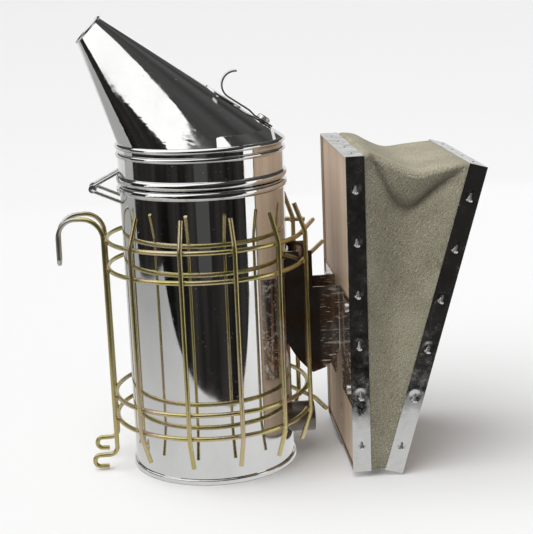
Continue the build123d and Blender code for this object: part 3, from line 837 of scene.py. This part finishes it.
def emitter(name, color, strength, patchy, rising):
    """Glowing material of one strength, or of a strength that varies over the card.

    patchy is its (lowest, highest) strength in slow patches. rising is (x, x, strength, strength):
    the two places along X between which the strength goes from one value to the other.
    """
    material = bpy.data.materials.new(name)
    material.use_nodes = True
    tree = material.node_tree
    tree.nodes.clear()
    glow = tree.nodes.new("ShaderNodeEmission")
    glow.inputs["Color"].default_value = (*color, 1.0)
    glow.inputs["Strength"].default_value = strength
    output = tree.nodes.new("ShaderNodeOutputMaterial")
    tree.links.new(glow.outputs["Emission"], output.inputs["Surface"])
    if patchy or rising:
        place = tree.nodes.new("ShaderNodeTexCoord")
        spread = tree.nodes.new("ShaderNodeMapRange")
        if patchy:
            texture = tree.nodes.new("ShaderNodeTexNoise")
            texture.inputs["Scale"].default_value = PATCH_REPEATS
            texture.inputs["Detail"].default_value = PATCH_DETAIL
            tree.links.new(place.outputs["Object"], texture.inputs["Vector"])
            value, limits = texture.outputs["Fac"], (*PATCH_RANGE, *patchy)
        else:
            separate = tree.nodes.new("ShaderNodeSeparateXYZ")
            tree.links.new(place.outputs["Object"], separate.inputs["Vector"])
            value, limits = separate.outputs["X"], rising
        tree.links.new(value, spread.inputs["Value"])
        for socket, limit in zip(("From Min", "From Max", "To Min", "To Max"), limits):
            spread.inputs[socket].default_value = limit
        tree.links.new(spread.outputs["Result"], glow.inputs["Strength"])
    return material


def level(height, outline):
    """Corners of a level card, from (x, y) pairs."""
    return [(x, y, height) for x, y in outline]


def square(height, reach):
    """Corners of a level square round the origin."""
    return level(height, [(-reach, -reach), (reach, -reach), (reach, reach), (-reach, reach)])


def upright(start, end, low, high):
    """Corners of an upright card over the line from start to end."""
    return [(*start, low), (*end, low), (*end, high), (*start, high)]


def card(name, corners, strength=0.0, color=WHITE, faces=None, patchy=None, rising=None):
    """A studio card that only polished surfaces see."""
    points = [Vector(corner) for corner in corners]
    finish = emitter(name, color, strength, patchy, rising)
    obj = new_mesh_object(name, points, faces or [tuple(range(len(points)))], finish, smooth=False)
    obj.visible_camera = False
    obj.visible_diffuse = False
    obj.visible_shadow = False
    obj.visible_transmission = False


FLOOR_REACH = 20
floor_finish = Finish("studio_floor", 0.0, 0.9, (0.86, 0.86, 0.86))
floor = new_mesh_object("studio_floor", square(0, FLOOR_REACH), [(0, 1, 2, 3)],
                        floor_finish.material, smooth=False)
floor.visible_glossy = False
floor.visible_diffuse = False

# The table as the pot mirrors it, just above the floor, and a painted shadow on it behind the pot
TABLE_HEIGHT = 0.2 * MM
SHADE_HEIGHT = 0.4 * MM
TABLE_OUTLINE = [
    (-0.57, -0.30), (-0.19, -0.245), (0.0, -0.21), (0.07, -0.175), (0.11, -0.164), (0.16, -0.190),
    (0.40, -0.28), (0.90, -0.28), (0.90, 0.95), (-0.85, 0.95), (-0.75, 0.24), (-0.57, 0.14),
]
SHADE_OUTLINE = [
    (0.076, 0.0), (0.16, 0.0), (0.16, 0.30), (-0.02, 0.30), (0.02, 0.07), (0.062, 0.035),
]
card("reflected_table", level(TABLE_HEIGHT, TABLE_OUTLINE), rising=(-0.45, 0.30, 0.42, 0.90))
card("reflected_table_shade", level(SHADE_HEIGHT, SHADE_OUTLINE), 0.05, (1.0, 0.80, 0.60))

# The backdrop behind, its return at the left, the gap in front and the strip light at the right
BACKDROP_CORNER = (-1.10, 0.95)
BACKDROP_HEIGHTS = (-0.4, 0.42)
card("reflected_backdrop_left", upright((-1.10, 0.36), BACKDROP_CORNER, *BACKDROP_HEIGHTS), 0.44)
card("reflected_backdrop", upright(BACKDROP_CORNER, (1.2, 0.95), *BACKDROP_HEIGHTS), 0.78)
card("reflected_gap", upright((-0.21, -1.0), (0.10, -1.0), -0.10, 0.20), 0.075)
card("reflected_strip_light", upright((0.84, -0.54), (0.99, -0.09), -0.3, 0.55), 1.15)

# The two large lights, at the left and overhead
BIG_LIGHT_STRENGTH = 1.25
CEILING_LIGHT_HEIGHT = 1.22
SIDE_LIGHT_TOP = 1.25
SIDE_LIGHT_CORNERS = [
    (-1.30, -0.20, 0.17), (-1.12, -0.60, 0.41), (-0.80, -1.30, 0.90),
    (-0.80, -1.30, SIDE_LIGHT_TOP), (-1.30, -0.20, SIDE_LIGHT_TOP),
]
CEILING_LIGHT_OUTLINE = [
    (-1.6, -1.8), (-0.90, -1.65), (-0.56, -1.30), (-0.27, -1.03), (0.02, -0.77), (0.20, -0.53),
    (0.26, -0.41), (0.28, -0.30), (0.30, -0.20), (0.315, -0.11), (0.32, 0.0), (0.32, 0.9),
    (-1.6, 0.9),
]
card("reflected_side_light", SIDE_LIGHT_CORNERS, BIG_LIGHT_STRENGTH)
card("reflected_ceiling_light",
     level(CEILING_LIGHT_HEIGHT, CEILING_LIGHT_OUTLINE), BIG_LIGHT_STRENGTH)

# The dim surfaces around, and the darker room that closes everything in
DIM = (0.045, 0.10)
DARK = (0.006, 0.036)
DIM_TOP, DIM_REACH, DIM_WALL = 1.6, 3, 2.0
ROOM_REACH, ROOM_LOW, ROOM_HIGH = 4, -3, 5
BOX_FACES = [(0, 1, 2, 3), (4, 5, 6, 7), (0, 1, 5, 4), (1, 2, 6, 5), (2, 3, 7, 6), (3, 0, 4, 7)]
card("reflected_dim_ceiling", square(DIM_TOP, DIM_REACH), patchy=DIM)
card("reflected_dim_back",
     upright((-DIM_REACH, DIM_WALL), (DIM_REACH, DIM_WALL), 0.5, DIM_TOP), patchy=DIM)
card("reflected_dim_right", upright((DIM_WALL, -1), (DIM_WALL, 2), 0.6, DIM_TOP), patchy=DIM)
card("reflected_room", square(ROOM_LOW, ROOM_REACH) + square(ROOM_HIGH, ROOM_REACH),
     color=(1.0, 0.95, 0.90), patchy=DARK, faces=BOX_FACES)

SUN_DIRECTION = Vector((0.45, 0.20, -0.87))
sun_data = bpy.data.lights.new("softbox", "SUN")
sun_data.energy = 2.95
sun_data.angle = math.radians(75.0)
softbox = bpy.data.objects.new("softbox", sun_data)
softbox.rotation_euler = SUN_DIRECTION.to_track_quat("-Z", "Y").to_euler()
softbox.visible_glossy = False
bpy.context.scene.collection.objects.link(softbox)

world = bpy.data.worlds.new("studio_world")
bpy.context.scene.world = world
world.use_nodes = True
world.node_tree.nodes["Background"].inputs["Color"].default_value = (*WHITE, 1.0)
world.node_tree.nodes["Background"].inputs["Strength"].default_value = 0.29
world.cycles_visibility.glossy = False

# ---------------------------------------------------------------- camera

CAMERA_PLACE = Vector((-0.0252, -0.7820, 0.3012))
CAMERA_DOWN = math.radians(12.96)
CAMERA_TO_RIGHT = math.radians(4.57)
CAMERA_ROLL = math.radians(-2.32)
CAMERA_LENS = 87.44

forward = Vector((
    math.sin(CAMERA_TO_RIGHT) * math.cos(CAMERA_DOWN),
    math.cos(CAMERA_TO_RIGHT) * math.cos(CAMERA_DOWN),
    -math.sin(CAMERA_DOWN),
))
level_right = Vector((math.cos(CAMERA_TO_RIGHT), -math.sin(CAMERA_TO_RIGHT), 0.0))
level_up = level_right.cross(forward)
right = level_right * math.cos(CAMERA_ROLL) + level_up * math.sin(CAMERA_ROLL)
up = level_up * math.cos(CAMERA_ROLL) - level_right * math.sin(CAMERA_ROLL)
camera_data = bpy.data.cameras.new("camera")
camera_data.lens = CAMERA_LENS
camera_data.sensor_width = 36.0
camera = bpy.data.objects.new("camera", camera_data)
camera_turn = Matrix((right, up, -forward)).transposed().to_4x4()
camera.matrix_world = Matrix.Translation(CAMERA_PLACE) @ camera_turn
bpy.context.scene.collection.objects.link(camera)
bpy.context.scene.camera = camera
bpy.context.scene.view_settings.view_transform = "Standard"
